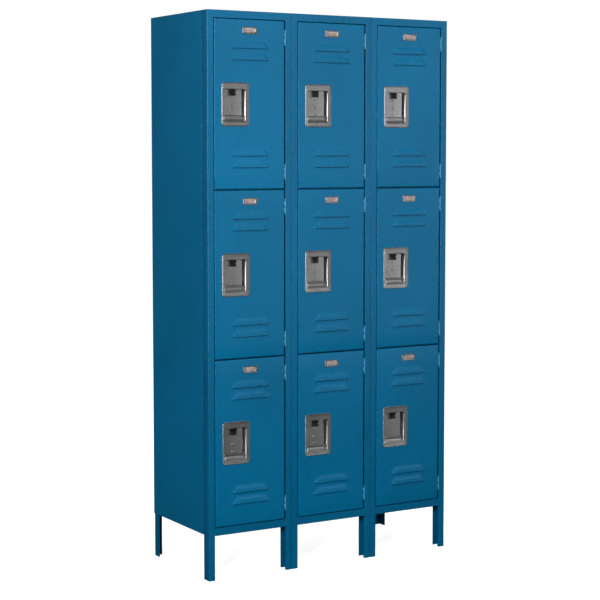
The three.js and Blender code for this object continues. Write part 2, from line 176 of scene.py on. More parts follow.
def add_camera():
    data = bpy.data.cameras.new("camera")
    data.lens = CAMERA_LENS
    data.sensor_width = CAMERA_SENSOR
    data.shift_y = CAMERA_SHIFT
    camera = bpy.data.objects.new("camera", data)
    heading = math.radians(CAMERA_HEADING)
    pitch = math.radians(CAMERA_PITCH)
    level = math.cos(pitch)
    eye = Vector(CAMERA_EYE)
    ahead = Vector((math.sin(heading) * level, math.cos(heading) * level, math.sin(pitch)))
    aim(camera, eye, eye + ahead)
    bpy.context.scene.collection.objects.link(camera)
    bpy.context.scene.camera = camera


def add_light(name, location, target, width, height, power, spread=180):
    data = bpy.data.lights.new(name, "AREA")
    data.shape = "RECTANGLE"
    data.size = width
    data.size_y = height
    data.energy = power
    data.spread = math.radians(spread)
    light = bpy.data.objects.new(name, data)
    aim(light, location, target)
    bpy.context.scene.collection.objects.link(light)
    return light


def add_lights():
    """Soft panels: two light only the surfaces, two show only in the gloss, and two do both."""
    key = add_light("key", (0.4, -2.9, 3.3), (0.0, -0.2, 1.70), 3.0, 1.8, KEY_POWER, spread=95)
    add_light("card", (2.5, -4.3, 1.4), (0.0, -0.2, 1.0), 2.4, 2.8, CARD_POWER)
    strip = add_light("strip", (-3.1, -3.1, 2.15), (-0.2, -0.1, 1.4), 0.5, 2.1, STRIP_POWER)
    add_light("fill", (2.2, 4.4, 2.4), (0.0, 0.2, 1.0), 2.5, 2.5, FILL_POWER)
    edge = add_light("edge", (3.9, -2.6, 1.5), (0.0, -0.2, 1.0), 0.5, 2.2, EDGE_POWER)
    softbox = add_light("softbox", (-5.2, -1.6, 1.9), (-0.3, -0.2, 1.2), 4.6, 3.0, SOFTBOX_POWER)
    edge.visible_diffuse = False
    softbox.visible_diffuse = False
    key.visible_glossy = False
    strip.visible_glossy = False


def add_world():
    """A white backdrop for the eye; as a light it is dim above, dark below and dimmer in gloss."""
    world = bpy.data.worlds.new("studio")
    bpy.context.scene.world = world
    world.use_nodes = True
    tree = world.node_tree
    tree.nodes.clear()
    place = node(tree, "ShaderNodeTexCoord")
    parts = node(tree, "ShaderNodeSeparateXYZ", {"Vector": place.outputs["Generated"]})
    height = remap(tree, parts.outputs["Z"], HORIZON_LOW, HORIZON_HIGH, WORLD_BELOW, WORLD_ABOVE)
    rays = node(tree, "ShaderNodeLightPath")
    shine = remap(tree, rays.outputs["Is Glossy Ray"], 0, 1, 1.0, WORLD_SHINE)
    height = math_node(tree, "MULTIPLY", height, shine)
    backdrop = node(tree, "ShaderNodeBackground", {"Color": (1, 1, 1, 1), "Strength": 1.0})
    light = node(tree, "ShaderNodeBackground", {"Color": (0.97, 0.98, 1, 1), "Strength": height})
    both = node(
        tree,
        "ShaderNodeMixShader",
        {0: rays.outputs["Is Camera Ray"], 1: light.outputs[0], 2: backdrop.outputs[0]},
    )
    node(tree, "ShaderNodeOutputWorld", {"Surface": both.outputs[0]})


def add_floor():
    mesh = bpy.data.meshes.new("floor")
    corners = [(x * FLOOR_HALF, y * FLOOR_HALF, 0) for x, y in ((-1, -1), (1, -1), (1, 1), (-1, 1))]
    mesh.from_pydata(corners, [], [(0, 1, 2, 3)])
    floor = bpy.data.objects.new("floor", mesh)
    floor.location.z = -FLOOR_DROP
    bpy.context.scene.collection.objects.link(floor)
    mesh.materials.append(floor_material())
    floor.visible_diffuse = False
    floor.visible_glossy = False


# ---------------------------------------------------------------- materials

def node(tree, kind, inputs=None, **settings):
    """A shader node with its settings; an input is a value or another node's output."""
    made = tree.nodes.new(kind)
    for key, value in settings.items():
        setattr(made, key, value)
    for socket, value in (inputs or {}).items():
        if isinstance(value, bpy.types.NodeSocket):
            tree.links.new(value, made.inputs[socket])
        else:
            made.inputs[socket].default_value = value
    return made


def math_node(tree, operation, a, b=0.0):
    return node(tree, "ShaderNodeMath", {0: a, 1: b}, operation=operation).outputs[0]


def mix_colour(tree, factor, a, b):
    made = node(tree, "ShaderNodeMix", {0: factor, 6: a, 7: b}, data_type="RGBA")
    return made.outputs[2]


def noise(tree, vector, scale, detail=2.0, roughness=0.5):
    made = node(
        tree,
        "ShaderNodeTexNoise",
        {"Vector": vector, "Scale": scale, "Detail": detail, "Roughness": roughness},
    )
    return made.outputs[0]


def remap(tree, value, low, high, to_low, to_high):
    made = node(
        tree,
        "ShaderNodeMapRange",
        {"Value": value, "From Min": low, "From Max": high, "To Min": to_low, "To Max": to_high},
    )
    return made.outputs[0]


def start_material(name):
    material = bpy.data.materials.new(name)
    material.use_nodes = True
    tree = material.node_tree
    tree.nodes.clear()
    shader = node(tree, "ShaderNodeBsdfPrincipled")
    node(tree, "ShaderNodeOutputMaterial", {"Surface": shader.outputs[0]})
    place = node(tree, "ShaderNodeTexCoord")
    info = node(tree, "ShaderNodeObjectInfo")
    shift = node(tree, "ShaderNodeVectorMath", {0: (7.3, 4.1, 9.7)}, operation="SCALE")
    tree.links.new(info.outputs["Random"], shift.inputs["Scale"])
    moved = node(
        tree,
        "ShaderNodeVectorMath",
        {0: place.outputs["Object"], 1: shift.outputs[0]},
        operation="ADD",
    )
    return material, tree, shader, moved.outputs[0]


def edge_mask(tree, radius):
    """1 on sharp and bent edges, 0 on flats, with the rounded normal that it came from."""
    rounded = node(tree, "ShaderNodeBevel", {"Radius": radius}, samples=4)
    flat = node(tree, "ShaderNodeNewGeometry")
    agree = node(
        tree,
        "ShaderNodeVectorMath",
        {0: rounded.outputs[0], 1: flat.outputs["Normal"]},
        operation="DOT_PRODUCT",
    )
    mask = remap(tree, agree.outputs["Value"], 0.995, 0.80, 0.0, 1.0)
    return mask, rounded.outputs[0]


def painted_steel(name, colour, edge_colour, rough, wear_and_highlight=0.35, peel=0.04, gloss=0.33):
    """Powder coat on sheet steel: faint clouding, orange peel, and lighter edges, abraded on most coats and
    a painted highlight on the hinge paint.
    """
    material, tree, shader, where = start_material(name)
    cloud = noise(tree, where, 2.6, 3.0, 0.55)
    fleck = noise(tree, where, 420.0, 2.0, 0.6)
    patch_noise = noise(tree, where, 38.0, 4.0, 0.65)
    dark = [c * 0.90 for c in colour] + [1]
    light = [min(1, c * 1.08) for c in colour] + [1]
    clouded = mix_colour(tree, remap(tree, cloud, 0.3, 0.7, 0.0, 1.0), dark, light)
    flecked = mix_colour(
        tree,
        remap(tree, fleck, 0.62, 0.78, 0.0, 0.25),
        clouded,
        [min(1, c * 1.35 + 0.006) for c in colour] + [1],
    )
    mask, rounded = edge_mask(tree, 0.0016)
    # Lighter patches on edges: abraded paint, except on the hinge paint, where they are a painted
    # highlight.
    edge_mix = math_node(tree, "MULTIPLY", mask, remap(tree, patch_noise, 0.42, 0.68, 0.0, wear_and_highlight))
    painted = mix_colour(tree, edge_mix, flecked, [*edge_colour, 1])
    tree.links.new(painted, shader.inputs["Base Color"])
    roughness = math_node(
        tree,
        "ADD",
        remap(tree, patch_noise, 0.2, 0.8, rough - 0.05, rough + 0.06),
        math_node(tree, "MULTIPLY", edge_mix, 0.12),
    )
    tree.links.new(roughness, shader.inputs["Roughness"])
    fine = noise(tree, where, 520.0, 1.0)
    peeled = node(
        tree,
        "ShaderNodeBump",
        {"Strength": peel, "Distance": 0.0006, "Height": fine, "Normal": rounded},
    )
    broad = noise(tree, where, 7.0, 1.0)
    waved = node(
        tree,
        "ShaderNodeBump",
        {"Strength": 0.10, "Distance": 0.0012, "Height": broad, "Normal": peeled.outputs[0]},
    )
    tree.links.new(waved.outputs[0], shader.inputs["Normal"])
    shader.inputs["Specular IOR Level"].default_value = gloss
    return material


def brushed_steel(name, colour, rough, grain=(14.0, 14.0, 900.0), metallic=1.0):
    """Brushed metal: grain runs along X, with soft stains and polished edges."""
    material, tree, shader, where = start_material(name)
    stretched = node(tree, "ShaderNodeVectorMath", {0: where, 1: grain}, operation="MULTIPLY")
    lines = noise(tree, stretched.outputs[0], 1.0, 3.0, 0.6)
    stain = noise(tree, where, 24.0, 3.0, 0.5)
    mask, rounded = edge_mask(tree, 0.0012)
    dark = [c * 0.80 for c in colour] + [1]
    light = [min(1, c * 1.15) for c in colour] + [1]
    base = mix_colour(tree, remap(tree, lines, 0.3, 0.7, 0.0, 1.0), dark, light)
    stained = mix_colour(tree, remap(tree, stain, 0.45, 0.75, 0.0, 0.30), base, dark)
    bright = mix_colour(
        tree,
        math_node(tree, "MULTIPLY", mask, 0.6),
        stained,
        [min(1, c * 1.9) for c in colour] + [1],
    )
    tree.links.new(bright, shader.inputs["Base Color"])
    tree.links.new(remap(tree, lines, 0.25, 0.75, rough - 0.05, rough + 0.08), shader.inputs["Roughness"])
    shader.inputs["Metallic"].default_value = metallic
    bump = node(
        tree,
        "ShaderNodeBump",
        {"Strength": 0.12, "Distance": 0.0002, "Height": lines, "Normal": rounded},
    )
    tree.links.new(bump.outputs[0], shader.inputs["Normal"])
    return material


def moulded_plastic(name, colour, rough):
    material, tree, shader, where = start_material(name)
    grain = noise(tree, where, 1400.0, 2.0, 0.6)
    smear = noise(tree, where, 60.0, 3.0, 0.5)
    mask, rounded = edge_mask(tree, 0.0008)
    edge_colour = [min(1, c * 2.6 + 0.004) for c in colour] + [1]
    base = mix_colour(tree, remap(tree, smear, 0.4, 0.7, 0.0, 0.4), [*colour, 1], edge_colour)
    edge_mix = mix_colour(tree, math_node(tree, "MULTIPLY", mask, 0.5), base, edge_colour)
    tree.links.new(edge_mix, shader.inputs["Base Color"])
    tree.links.new(remap(tree, smear, 0.3, 0.7, rough - 0.08, rough + 0.08), shader.inputs["Roughness"])
    bump = node(
        tree,
        "ShaderNodeBump",
        {"Strength": 0.25, "Distance": 0.0001, "Height": grain, "Normal": rounded},
    )
    tree.links.new(bump.outputs[0], shader.inputs["Normal"])
    return material


def card_stock(name, colour):
    """Blank card behind a number plate's window, mottled with age."""
    material, tree, shader, where = start_material(name)
    fibre = noise(tree, where, 700.0, 3.0, 0.7)
    blotch = noise(tree, where, 90.0, 3.0, 0.6)
    light = [min(1, c * 1.25) for c in colour] + [1]
    dark = [c * 0.72 for c in colour] + [1]
    base = mix_colour(tree, remap(tree, blotch, 0.35, 0.65, 0.0, 1.0), dark, light)
    fibrous = mix_colour(tree, remap(tree, fibre, 0.5, 0.8, 0.0, 0.3), base, light)
    tree.links.new(fibrous, shader.inputs["Base Color"])
    tree.links.new(remap(tree, fibre, 0.2, 0.8, 0.5, 0.75), shader.inputs["Roughness"])
    bump = node(tree, "ShaderNodeBump", {"Strength": 0.2, "Distance": 0.0001, "Height": fibre})
    tree.links.new(bump.outputs[0], shader.inputs["Normal"])
    return material


def floor_material():
    material, tree, shader, where = start_material("pale_floor")
    haze = noise(tree, where, 0.8, 2.0)
    colour = mix_colour(tree, haze, [0.86, 0.86, 0.86, 1], [0.90, 0.90, 0.90, 1])
    tree.links.new(colour, shader.inputs["Base Color"])
    shader.inputs["Roughness"].default_value = 0.9
    shader.inputs["Specular IOR Level"].default_value = 0.1
    shader.inputs["Emission Color"].default_value = (1, 1, 1, 1)
    shader.inputs["Emission Strength"].default_value = FLOOR_GLOW
    return material


DOOR_BLUE = (0.0, 0.116, 0.245)
FRAME_BLUE = (0.0, 0.102, 0.216)
SHEET_BLUE = (0.0, 0.128, 0.267)
# The hinge colours paint a highlight on the knuckles and sleeves: the door blue made lighter all over, and
# lighter still along their edges.
HINGE_HIGHLIGHT_BLUE = (0.04, 0.24, 0.42)
WORN_BLUE = (0.03, 0.16, 0.28)
HINGE_EDGE_HIGHLIGHT = (0.25, 0.50, 0.66)

blue_door = painted_steel("blue_door_paint", DOOR_BLUE, WORN_BLUE, 0.27)
blue_frame = painted_steel("blue_frame_paint", FRAME_BLUE, WORN_BLUE, 0.27)
# Hinge paint: a painted highlight, with the light edge colour laid heavily along the knuckles' edges.
hinge_painted_highlight = painted_steel("blue_hinge_paint", HINGE_HIGHLIGHT_BLUE, HINGE_EDGE_HIGHLIGHT, 0.30, wear_and_highlight=0.8)
blue_sheet = painted_steel("blue_sheet_paint", SHEET_BLUE, WORN_BLUE, 0.30, wear_and_highlight=0.25)
stainless = brushed_steel("stainless_pan", (0.72, 0.72, 0.72), 0.42)
black_plastic = moulded_plastic("black_plastic", (0.004, 0.004, 0.005), 0.50)
plate_metal = brushed_steel("plate_aluminium", (0.58, 0.57, 0.56), 0.28, grain=(900.0, 14.0, 30.0))
rivet_metal = brushed_steel("rivet_metal", (0.80, 0.80, 0.80), 0.18, grain=(200.0, 200.0, 200.0))
bolt_metal = brushed_steel("bolt_zinc", (0.10, 0.10, 0.11), 0.40, grain=(300.0, 300.0, 300.0))
card = card_stock("plate_card", (0.30, 0.235, 0.225))

SLOT_MATERIALS = {
    "blue_frame": blue_frame,
    "blue_sheet": blue_sheet,
    "blue_door": blue_door,
    "stainless": stainless,
    "black_lift": black_plastic,
    "number_plate": plate_metal,
}


# ---------------------------------------------------------------- mesh tools

def ring_faces(bm, low, high, closed=True):
    count = len(low)
    for i in range(count if closed else count - 1):
        j = (i + 1) % count
        bm.faces.new((low[i], low[j], high[j], high[i]))


def loft(bm, rings, start_cap=False, end_cap=False, closed=True):
    rows = [[bm.verts.new(point) for point in ring] for ring in rings]
    for low, high in zip(rows, rows[1:]):
        ring_faces(bm, low, high, closed)
    if start_cap:
        bm.faces.new(list(reversed(rows[0])))
    if end_cap:
        bm.faces.new(rows[-1])
    return rows


def rounded_ring(x0, x1, z0, z1, radius, y, steps=PAN_STEPS, y_of=None):
    """Points in metres round a rectangle with rounded corners, given in millimetres."""
    points = []
    radius = max(radius, 0.05)
    corners = (
        (x1 - radius, z1 - radius, 0),
        (x0 + radius, z1 - radius, 90),
        (x0 + radius, z0 + radius, 180),
        (x1 - radius, z0 + radius, 270),
    )
    for cx, cz, start in corners:
        for i in range(steps + 1):
            turn = math.radians(start + 90 * i / steps)
            x = cx + radius * math.cos(turn)
            z = cz + radius * math.sin(turn)
            depth = y_of(x, z) if y_of else y
            points.append((x * MM, depth * MM, z * MM))
    return points


def dome(bm, x, z, front, radius, rise, sides=16, rows=4, hollow=0.0):
    """A round button on a face that looks towards -Y; hollow is the share of it that dips back."""
    rings = []
    for i in range(rows + 1):
        turn = math.radians(90 * i / rows)
        r = radius * math.cos(turn) if i < rows else radius * 0.04
        y = front - rise * math.sin(turn)
        if hollow and r < radius * hollow:
            y = front - rise * (0.15 + 0.6 * r / (radius * hollow))
        rings.append([
            ((x + r * math.cos(a)) * MM, y * MM, (z + r * math.sin(a)) * MM)
            for a in (math.tau * k / sides for k in range(sides))
        ])
    loft(bm, rings, end_cap=True)


def barrel(bm, x, y, low, high, radius, sides=KNUCKLE_SIDES, chamfer=0.35):
    """A round upright barrel with eased ends."""
    rings = []
    eased = radius - chamfer
    for r, z in ((eased, low), (radius, low + chamfer), (radius, high - chamfer), (eased, high)):
        rings.append([
            ((x + r * math.cos(a)) * MM, (y + r * math.sin(a)) * MM, z * MM)
            for a in (math.tau * k / sides for k in range(sides))
        ])
    loft(bm, rings, start_cap=True, end_cap=True)


def slab(bm, low, high, ease=0.25):
    """A small flat bar with eased edges; corners in millimetres."""
    (x0, y0, z0), (x1, y1, z1) = low, high
    made = bmesh.ops.create_cube(bm, size=1.0)
    for v in made["verts"]:
        v.co.x = (x0 + x1) / 2 * MM + v.co.x * (x1 - x0) * MM
        v.co.y = (y0 + y1) / 2 * MM + v.co.y * (y1 - y0) * MM
        v.co.z = (z0 + z1) / 2 * MM + v.co.z * (z1 - z0) * MM
    edges = {e for v in made["verts"] for e in v.link_edges}
    bmesh.ops.bevel(bm, geom=list(edges), offset=ease * MM, segments=2, affect="EDGES", profile=0.6)


def finish_mesh(bm, name, materials, sharp_angle=38):
    bmesh.ops.recalc_face_normals(bm, faces=bm.faces)
    return plain_mesh(bm, name, materials, sharp_angle)


def plain_mesh(bm, name, materials, sharp_angle=38):
    bm.edges.index_update()
    rims = [edge.index for edge in bm.edges if edge.is_boundary]
    mesh = bpy.data.meshes.new(name)
    bm.to_mesh(mesh)
    bm.free()
    mesh.shade_smooth()
    mesh.set_sharp_from_angle(angle=math.radians(sharp_angle))
    for index in rims:
        mesh.edges[index].use_edge_sharp = True
    for material in materials:
        mesh.materials.append(material)
    return mesh


def put(name, mesh, body, corner, stands_for=()):
    obj = bpy.data.objects.new(name, mesh)
    obj.location = corner
    bpy.context.scene.collection.objects.link(obj)
    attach(obj, body)
    if stands_for:
        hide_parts(*stands_for)
    return obj


# ---------------------------------------------------------------- door sheet

def louver_bottoms(height):
    return [
        LOWER_LOUVER_RISE,
        LOWER_LOUVER_RISE + LOUVER_PITCH,
        height - UPPER_LOUVER_DROP - LOUVER_PITCH,
        height - UPPER_LOUVER_DROP,
    ]


def smooth(t):
    t = min(1.0, max(0.0, t))
    return t * t * (3 - 2 * t)


def hood_rise(t):
    """Height of a hood's profile, 1 at the torn edge and blending to 0 at its top."""
    return smooth((1 - t) / HOOD_SHOULDER) * (1 - HOOD_TILT * min(1.0, t / (1 - HOOD_SHOULDER)))


def pan_hole(height):
    """The cut-out behind the pan: left, right, low and high, from the door's lower left corner."""
    left = PAN_LEFT + PAN_FLANGE_LEFT - HOLE_MARGIN
    right = PAN_LEFT + PAN_FLANGE_LEFT + PAN_MOUTH_WIDTH + HOLE_MARGIN
    low = height / 2 - PAN_HEIGHT / 2 + PAN_FLANGE_BOTTOM - HOLE_MARGIN
    high = height / 2 + PAN_HEIGHT / 2 - PAN_FLANGE_TOP + PAN_HEADROOM + HOLE_MARGIN
    return left, right, low, high


def door_columns(hole):
    """Columns of the door's grid: each is its x at a louver's foot and its share of the end's slant."""
    middle = DOOR_WIDTH / 2
    foot = LOUVER_BOTTOM_WIDTH / 2
    columns = [(DOOR_BEND, 0.0), (16.0, 0.0), (hole[0], 0.0), (middle - foot - LOUVER_FLANK, 0.0)]
    for i in range(LOUVER_COLUMNS + 1):
        columns.append((middle - foot + LOUVER_END * i / LOUVER_COLUMNS, 1.0))
    columns += [(middle - 40, 0.0), (hole[1], 0.0), (middle + 15, 0.0), (middle + 40, 0.0)]
    for i in range(LOUVER_COLUMNS + 1):
        columns.append((middle + foot - LOUVER_END * (LOUVER_COLUMNS - i) / LOUVER_COLUMNS, -1.0))
    columns += [(middle + foot + LOUVER_FLANK, 0.0), (DOOR_WIDTH - 18, 0.0), (DOOR_WIDTH - DOOR_BEND, 0.0)]
    return columns


def door_rows(height, hole):
    """Rows of the door's grid: z, and the louver and share of its height that the row is on."""
    rows = [(DOOR_BEND, None, 0.0), (LOWER_LOUVER_RISE - LOUVER_MARGIN, None, 0.0)]
    bottoms = louver_bottoms(height)
    for index, bottom in enumerate(bottoms):
        for step in range(LOUVER_ROWS + 1):
            share = step / LOUVER_ROWS
            rows.append((bottom + LOUVER_HEIGHT * share, index, share))
        rows.append((bottom + LOUVER_HEIGHT + LOUVER_SPACE, None, 0.0))
        if index == 1:
            rows += [(hole[2], None, 0.0), (hole[3], None, 0.0)]
            rows.append((bottoms[2] - LOUVER_MARGIN, None, 0.0))
    rows.append((height - DOOR_BEND, None, 0.0))
    return rows


def door_mesh(height, number):
    """One pressed sheet: louvers, a hole for the pan, rounded edges, flanges and lips."""
    bm = bmesh.new()
    hole_left, hole_right, hole_low, hole_high = hole = pan_hole(height)
    columns = door_columns(hole)
    rows = door_rows(height, hole)
    middle = DOOR_WIDTH / 2
    slant = (LOUVER_BOTTOM_WIDTH - LOUVER_TOP_WIDTH) / 2
    upper, lower = {}, {}
    for j, (z, louver, share) in enumerate(rows):
        half = LOUVER_BOTTOM_WIDTH / 2 - slant * share
        for i, (foot_x, side) in enumerate(columns):
            x = foot_x + (side * slant * share if louver is not None else 0.0)
            rise = 0.0
            if louver is not None:
                inside = half - abs(x - middle)
                rise = HOOD_RISE * hood_rise(share) * smooth(inside / LOUVER_END)
            upper[i, j] = bm.verts.new((x * MM, -rise * MM, z * MM))
            torn = louver is not None and share == 0 and rise > 1e-6
            lower[i, j] = bm.verts.new((x * MM, 0, z * MM)) if torn else upper[i, j]
    for j in range(len(rows) - 1):
        for i in range(len(columns) - 1):
            x0, x1 = columns[i][0], columns[i + 1][0]
            z0, z1 = rows[j][0], rows[j + 1][0]
            in_x = hole_left - 0.01 <= x0 and x1 <= hole_right + 0.01
            in_z = hole_low - 0.01 <= z0 and z1 <= hole_high + 0.01
            if in_x and in_z:
                continue
            bm.faces.new((upper[i, j], upper[i + 1, j], lower[i + 1, j + 1], lower[i, j + 1]))

    # the sheet's edge turns back round the bend, down the flange and in along the lip
    last_i, last_j = len(columns) - 1, len(rows) - 1
    border = [(i, 0) for i in range(last_i)]
    border += [(last_i, j) for j in range(last_j)]
    border += [(i, last_j) for i in range(last_i, 0, -1)]
    border += [(0, j) for j in range(last_j, 0, -1)]
    profile = []
    for k in range(1, BEND_STEPS + 1):
        turn = math.radians(90 * k / BEND_STEPS)
        profile.append((DOOR_BEND * (1 - math.sin(turn)), DOOR_BEND * (1 - math.cos(turn))))
    for k in range(BEND_STEPS):
        turn = math.radians(90 * k / (BEND_STEPS - 1))
        profile.append((
            LIP_BEND * (1 - math.cos(turn)),
            DOOR_DEPTH - LIP_BEND * (1 - math.sin(turn)),
        ))
    profile.append((DOOR_LIP, DOOR_DEPTH))
    previous = [lower[key] for key in border]
    for inset, depth in profile:
        ring = []
        for i, j in border:
            x = columns[i][0]
            z = rows[j][0]
            if i == 0:
                x = inset
            if i == last_i:
                x = DOOR_WIDTH - inset
            if j == 0:
                z = inset
            if j == last_j:
                z = height - inset
            ring.append(bm.verts.new((x * MM, depth * MM, z * MM)))
        ring_faces(bm, ring, previous)
        previous = ring
    bmesh.ops.remove_doubles(bm, verts=bm.verts, dist=1e-7)
    bmesh.ops.dissolve_degenerate(bm, edges=bm.edges, dist=1e-7)
    return plain_mesh(bm, f"door_sheet_{number}", [blue_door], 44)


def thicken(obj, sheet):
    solid = obj.modifiers.new("sheet", "SOLIDIFY")
    solid.thickness = sheet * MM
    solid.offset = -1
    solid.use_even_offset = False
    solid.use_rim = True


# ---------------------------------------------------------------- hinges

def knuckle_span(index, hinge_bottom):
    pitch = HINGE_HEIGHT / KNUCKLES
    low = hinge_bottom + index * pitch
    return low + KNUCKLE_GAP / 2, low + pitch - KNUCKLE_GAP / 2


def hinge_bottoms(height):
    return (HINGE_END_DISTANCE, height - HINGE_END_DISTANCE - HINGE_HEIGHT)


def door_knuckles_mesh(height, number):
    bm = bmesh.new()
    axis = DOOR_WIDTH + HINGE_GAP / 2
    for bottom in hinge_bottoms(height):
        for index in (1, 3):
            low, high = knuckle_span(index, bottom)
            barrel(bm, axis, 0, low, high, KNUCKLE_RADIUS)
            slab(bm, (DOOR_WIDTH - 1, 0.2, low), (axis - 0.6, 1.3, high))
    return finish_mesh(bm, f"door_knuckles_{number}", [hinge_painted_highlight], 30)


def frame_sleeves_mesh(height, number):
    bm = bmesh.new()
    axis = DOOR_WIDTH + HINGE_GAP / 2
    for bottom in hinge_bottoms(height):
        for index in (0, 2, 4):
            low, high = knuckle_span(index, bottom)
            barrel(bm, axis, 0, low - SLEEVE_SKIN, high + SLEEVE_SKIN, KNUCKLE_RADIUS + SLEEVE_SKIN)
    return finish_mesh(bm, f"frame_sleeves_{number}", [hinge_painted_highlight], 30)


# ---------------------------------------------------------------- handle pan

def pan_frame():
    """Mouth of the pan: left, right, bottom and top, z from the pan's middle."""
    left = PAN_LEFT + PAN_FLANGE_LEFT
    right = left + PAN_MOUTH_WIDTH
    bottom = -PAN_HEIGHT / 2 + PAN_FLANGE_BOTTOM
    top = PAN_HEIGHT / 2 - PAN_FLANGE_TOP
    return left, right, bottom, top


def slotted_sheet(bm, front, back, levels, slot):
    """An upright sheet between two outlines seen from above, open in one cell of its grid."""
    sides = []
    for outline in (front, back):
        sides.append([[bm.verts.new((x * MM, y * MM, z * MM)) for x, y in outline] for z in levels])
    borders = {}
    for j in range(len(levels) - 1):
        for i in range(len(front) - 1):
            if (i, j) == slot:
                continue
            loop = ((i, j), (i + 1, j), (i + 1, j + 1), (i, j + 1))
            for grid in sides:
                bm.faces.new([grid[row][column] for column, row in loop])
            for start, end in zip(loop, loop[1:] + loop[:1]):
                key = frozenset((start, end))
                borders[key] = None if key in borders else (start, end)
    for pair in borders.values():
        if pair:
            (i0, j0), (i1, j1) = pair
            bm.faces.new((sides[0][j0][i0], sides[0][j1][i1], sides[1][j1][i1], sides[1][j0][i0]))


def tub_depth(x, z, turn, above=False):
    """Depth of the mouth's bend: short along its top, and widest along its right side."""
    left, right, _, top = pan_frame()
    middle_x = (left + right) / 2
    high = smooth((z - top + 4) / 4)
    bend = MOUTH_LIP + (TOP_LIP - MOUTH_LIP) * high
    if not above:
        share = smooth((x - middle_x) / (right - middle_x)) * (1 - high)
        bend += share * (WALL_BEND - MOUTH_LIP)
    return PAN_FACE + bend * (1 - math.cos(turn))


def add_tub(bm):
    """A drawn pan: rolled rim, flange, rounded mouth, and a tub that reaches up behind the mouth."""
    left, right, bottom, top = pan_frame()
    x0, x1 = PAN_LEFT, PAN_LEFT + PAN_WIDTH
    z0, z1 = -PAN_HEIGHT / 2, PAN_HEIGHT / 2
    rim = [
        (0.9, 0.05), (0.25, -0.25), (0.0, -0.8), (0.15, -1.4), (0.7, -1.9), (1.5, -2.1),
        (2.3, -1.95), (2.9, -1.65), (3.4, -1.4), (4.0, PAN_FACE),
    ]
    rings = []
    for inset, y in rim:
        rings.append(rounded_ring(
            x0 + inset, x1 - inset, z0 + inset, z1 - inset, max(PAN_CORNER - inset, 2), y))

    for k in range(PAN_STEPS + 1):
        turn = math.radians(90 * k / PAN_STEPS)
        grow = MOUTH_LIP * (1 - math.sin(turn))
        rings.append(rounded_ring(
            left - grow, right - WALL_BEND * math.sin(turn), bottom - grow, top + grow,
            PAN_MOUTH_CORNER + grow, 0, y_of=lambda x, z, turn=turn: tub_depth(x, z, turn)))
    square = math.pi / 2
    rings.append(rounded_ring(
        left, right - WALL_BEND, bottom, top + PAN_HEADROOM, PAN_MOUTH_CORNER, 0,
        y_of=lambda x, z: tub_depth(x, z, square, above=z > top) + 0.02 + (0 if z > top else 0.5)))
    for y in (14.0, PAN_DEPTH):
        rings.append(rounded_ring(left, right - WALL_BEND, bottom, top + PAN_HEADROOM, PAN_MOUTH_CORNER, y))
    loft(bm, rings, end_cap=True)


def add_scoop(bm):
    """A shallow trough under the cover, with a rolled ridge along its top."""
    left, right, bottom, _ = pan_frame()
    across, up, roll = 28, 10, 6
    scoop_rows = []
    ridge_z = bottom + COVER_BOTTOM_RISE - 2.4
    for j in range(up + roll + 1):
        share = min(1.0, j / up)
        turn = math.radians(100 * max(0, j - up) / roll)
        z = bottom - 0.8 + (ridge_z - bottom + 0.8) * share + 2.0 * math.sin(turn)
        ring = []
        for i in range(across + 1):
            x = left - 0.5 + (right - WALL_BEND + 1 - left) * i / across
            from_end = min(x - left + 0.5, right - WALL_BEND + 0.5 - x)
            dish = 0.25 + 0.75 * smooth(from_end / SCOOP_END)
            y = SCOOP_FRONT + SCOOP_DEPTH * dish * math.sin(math.pi / 2 * min(1.0, share * 1.5))
            y -= SCOOP_RIDGE * smooth((share - 0.7) / 0.3)
            y += (COVER_FRONT + 1.5 - y) * (1 - math.cos(turn))
            ring.append((x * MM, y * MM, z * MM))
        scoop_rows.append(ring)
    loft(bm, scoop_rows, closed=False)


def add_cover(bm):
    """The cover in front of the latch, slotted for the lift's stem, its right edge folded back."""
    left, _, bottom, top = pan_frame()
    cover_left = left - 0.4
    cover_right = left + COVER_WIDTH
    middle = left + COVER_WIDTH / 2
    slot_half = LIFT_STEM_WIDTH / 2 + LIFT_CLEARANCE
    slot_high = top - LIFT_STEM_DROP + LIFT_TRAVEL + LIFT_CLEARANCE
    slot_low = top - LIFT_STEM_DROP - LIFT_STEM_HEIGHT - LIFT_CLEARANCE
    front = [(x, COVER_FRONT) for x in (cover_left, middle - slot_half, middle + slot_half)]
    back = [(x, y + PAN_SHEET) for x, y in front]
    for k in range(7):
        turn = math.radians(90 * k / 6)
        across, ahead = math.sin(turn), math.cos(turn)
        x = cover_right - COVER_FOLD * (1 - across)
        y = COVER_FRONT + COVER_FOLD * (1 - ahead)
        front.append((x, y))
        back.append((x - PAN_SHEET * across, y + PAN_SHEET * ahead))
    front.append((cover_right, PAN_DEPTH - 0.5))
    back.append((cover_right - PAN_SHEET, PAN_DEPTH - 0.5))
    levels = (bottom + COVER_BOTTOM_RISE, slot_low, slot_high, top + COVER_TOP_RISE)
    slotted_sheet(bm, front, back, levels, (1, 1))


def pan_mesh():
    """The pan with its scoop and cover, three buttons on the cover and an eye in the lower flange."""
    bm = bmesh.new()
    add_tub(bm)
    add_scoop(bm)
    add_cover(bm)
    z0, z1 = -PAN_HEIGHT / 2, PAN_HEIGHT / 2
    button_x = PAN_LEFT + PAN_FLANGE_LEFT + COVER_WIDTH / 2 - 1.5
    dome(bm, button_x, z1 - 49, COVER_FRONT + 0.05, 3.0, 1.5)
    dome(bm, button_x, z1 - 74, COVER_FRONT + 0.05, 4.8, 1.9, sides=20, rows=7, hollow=0.55)
    dome(bm, button_x, z1 - 97, COVER_FRONT + 0.05, 3.2, 1.6)
    dome(bm, PAN_LEFT + PAN_WIDTH / 2 - 2, z0 + 8.2, -1.25, 3.6, 1.2, sides=20, rows=7, hollow=0.5)
    return finish_mesh(bm, "handle_pan", [stainless], 50)


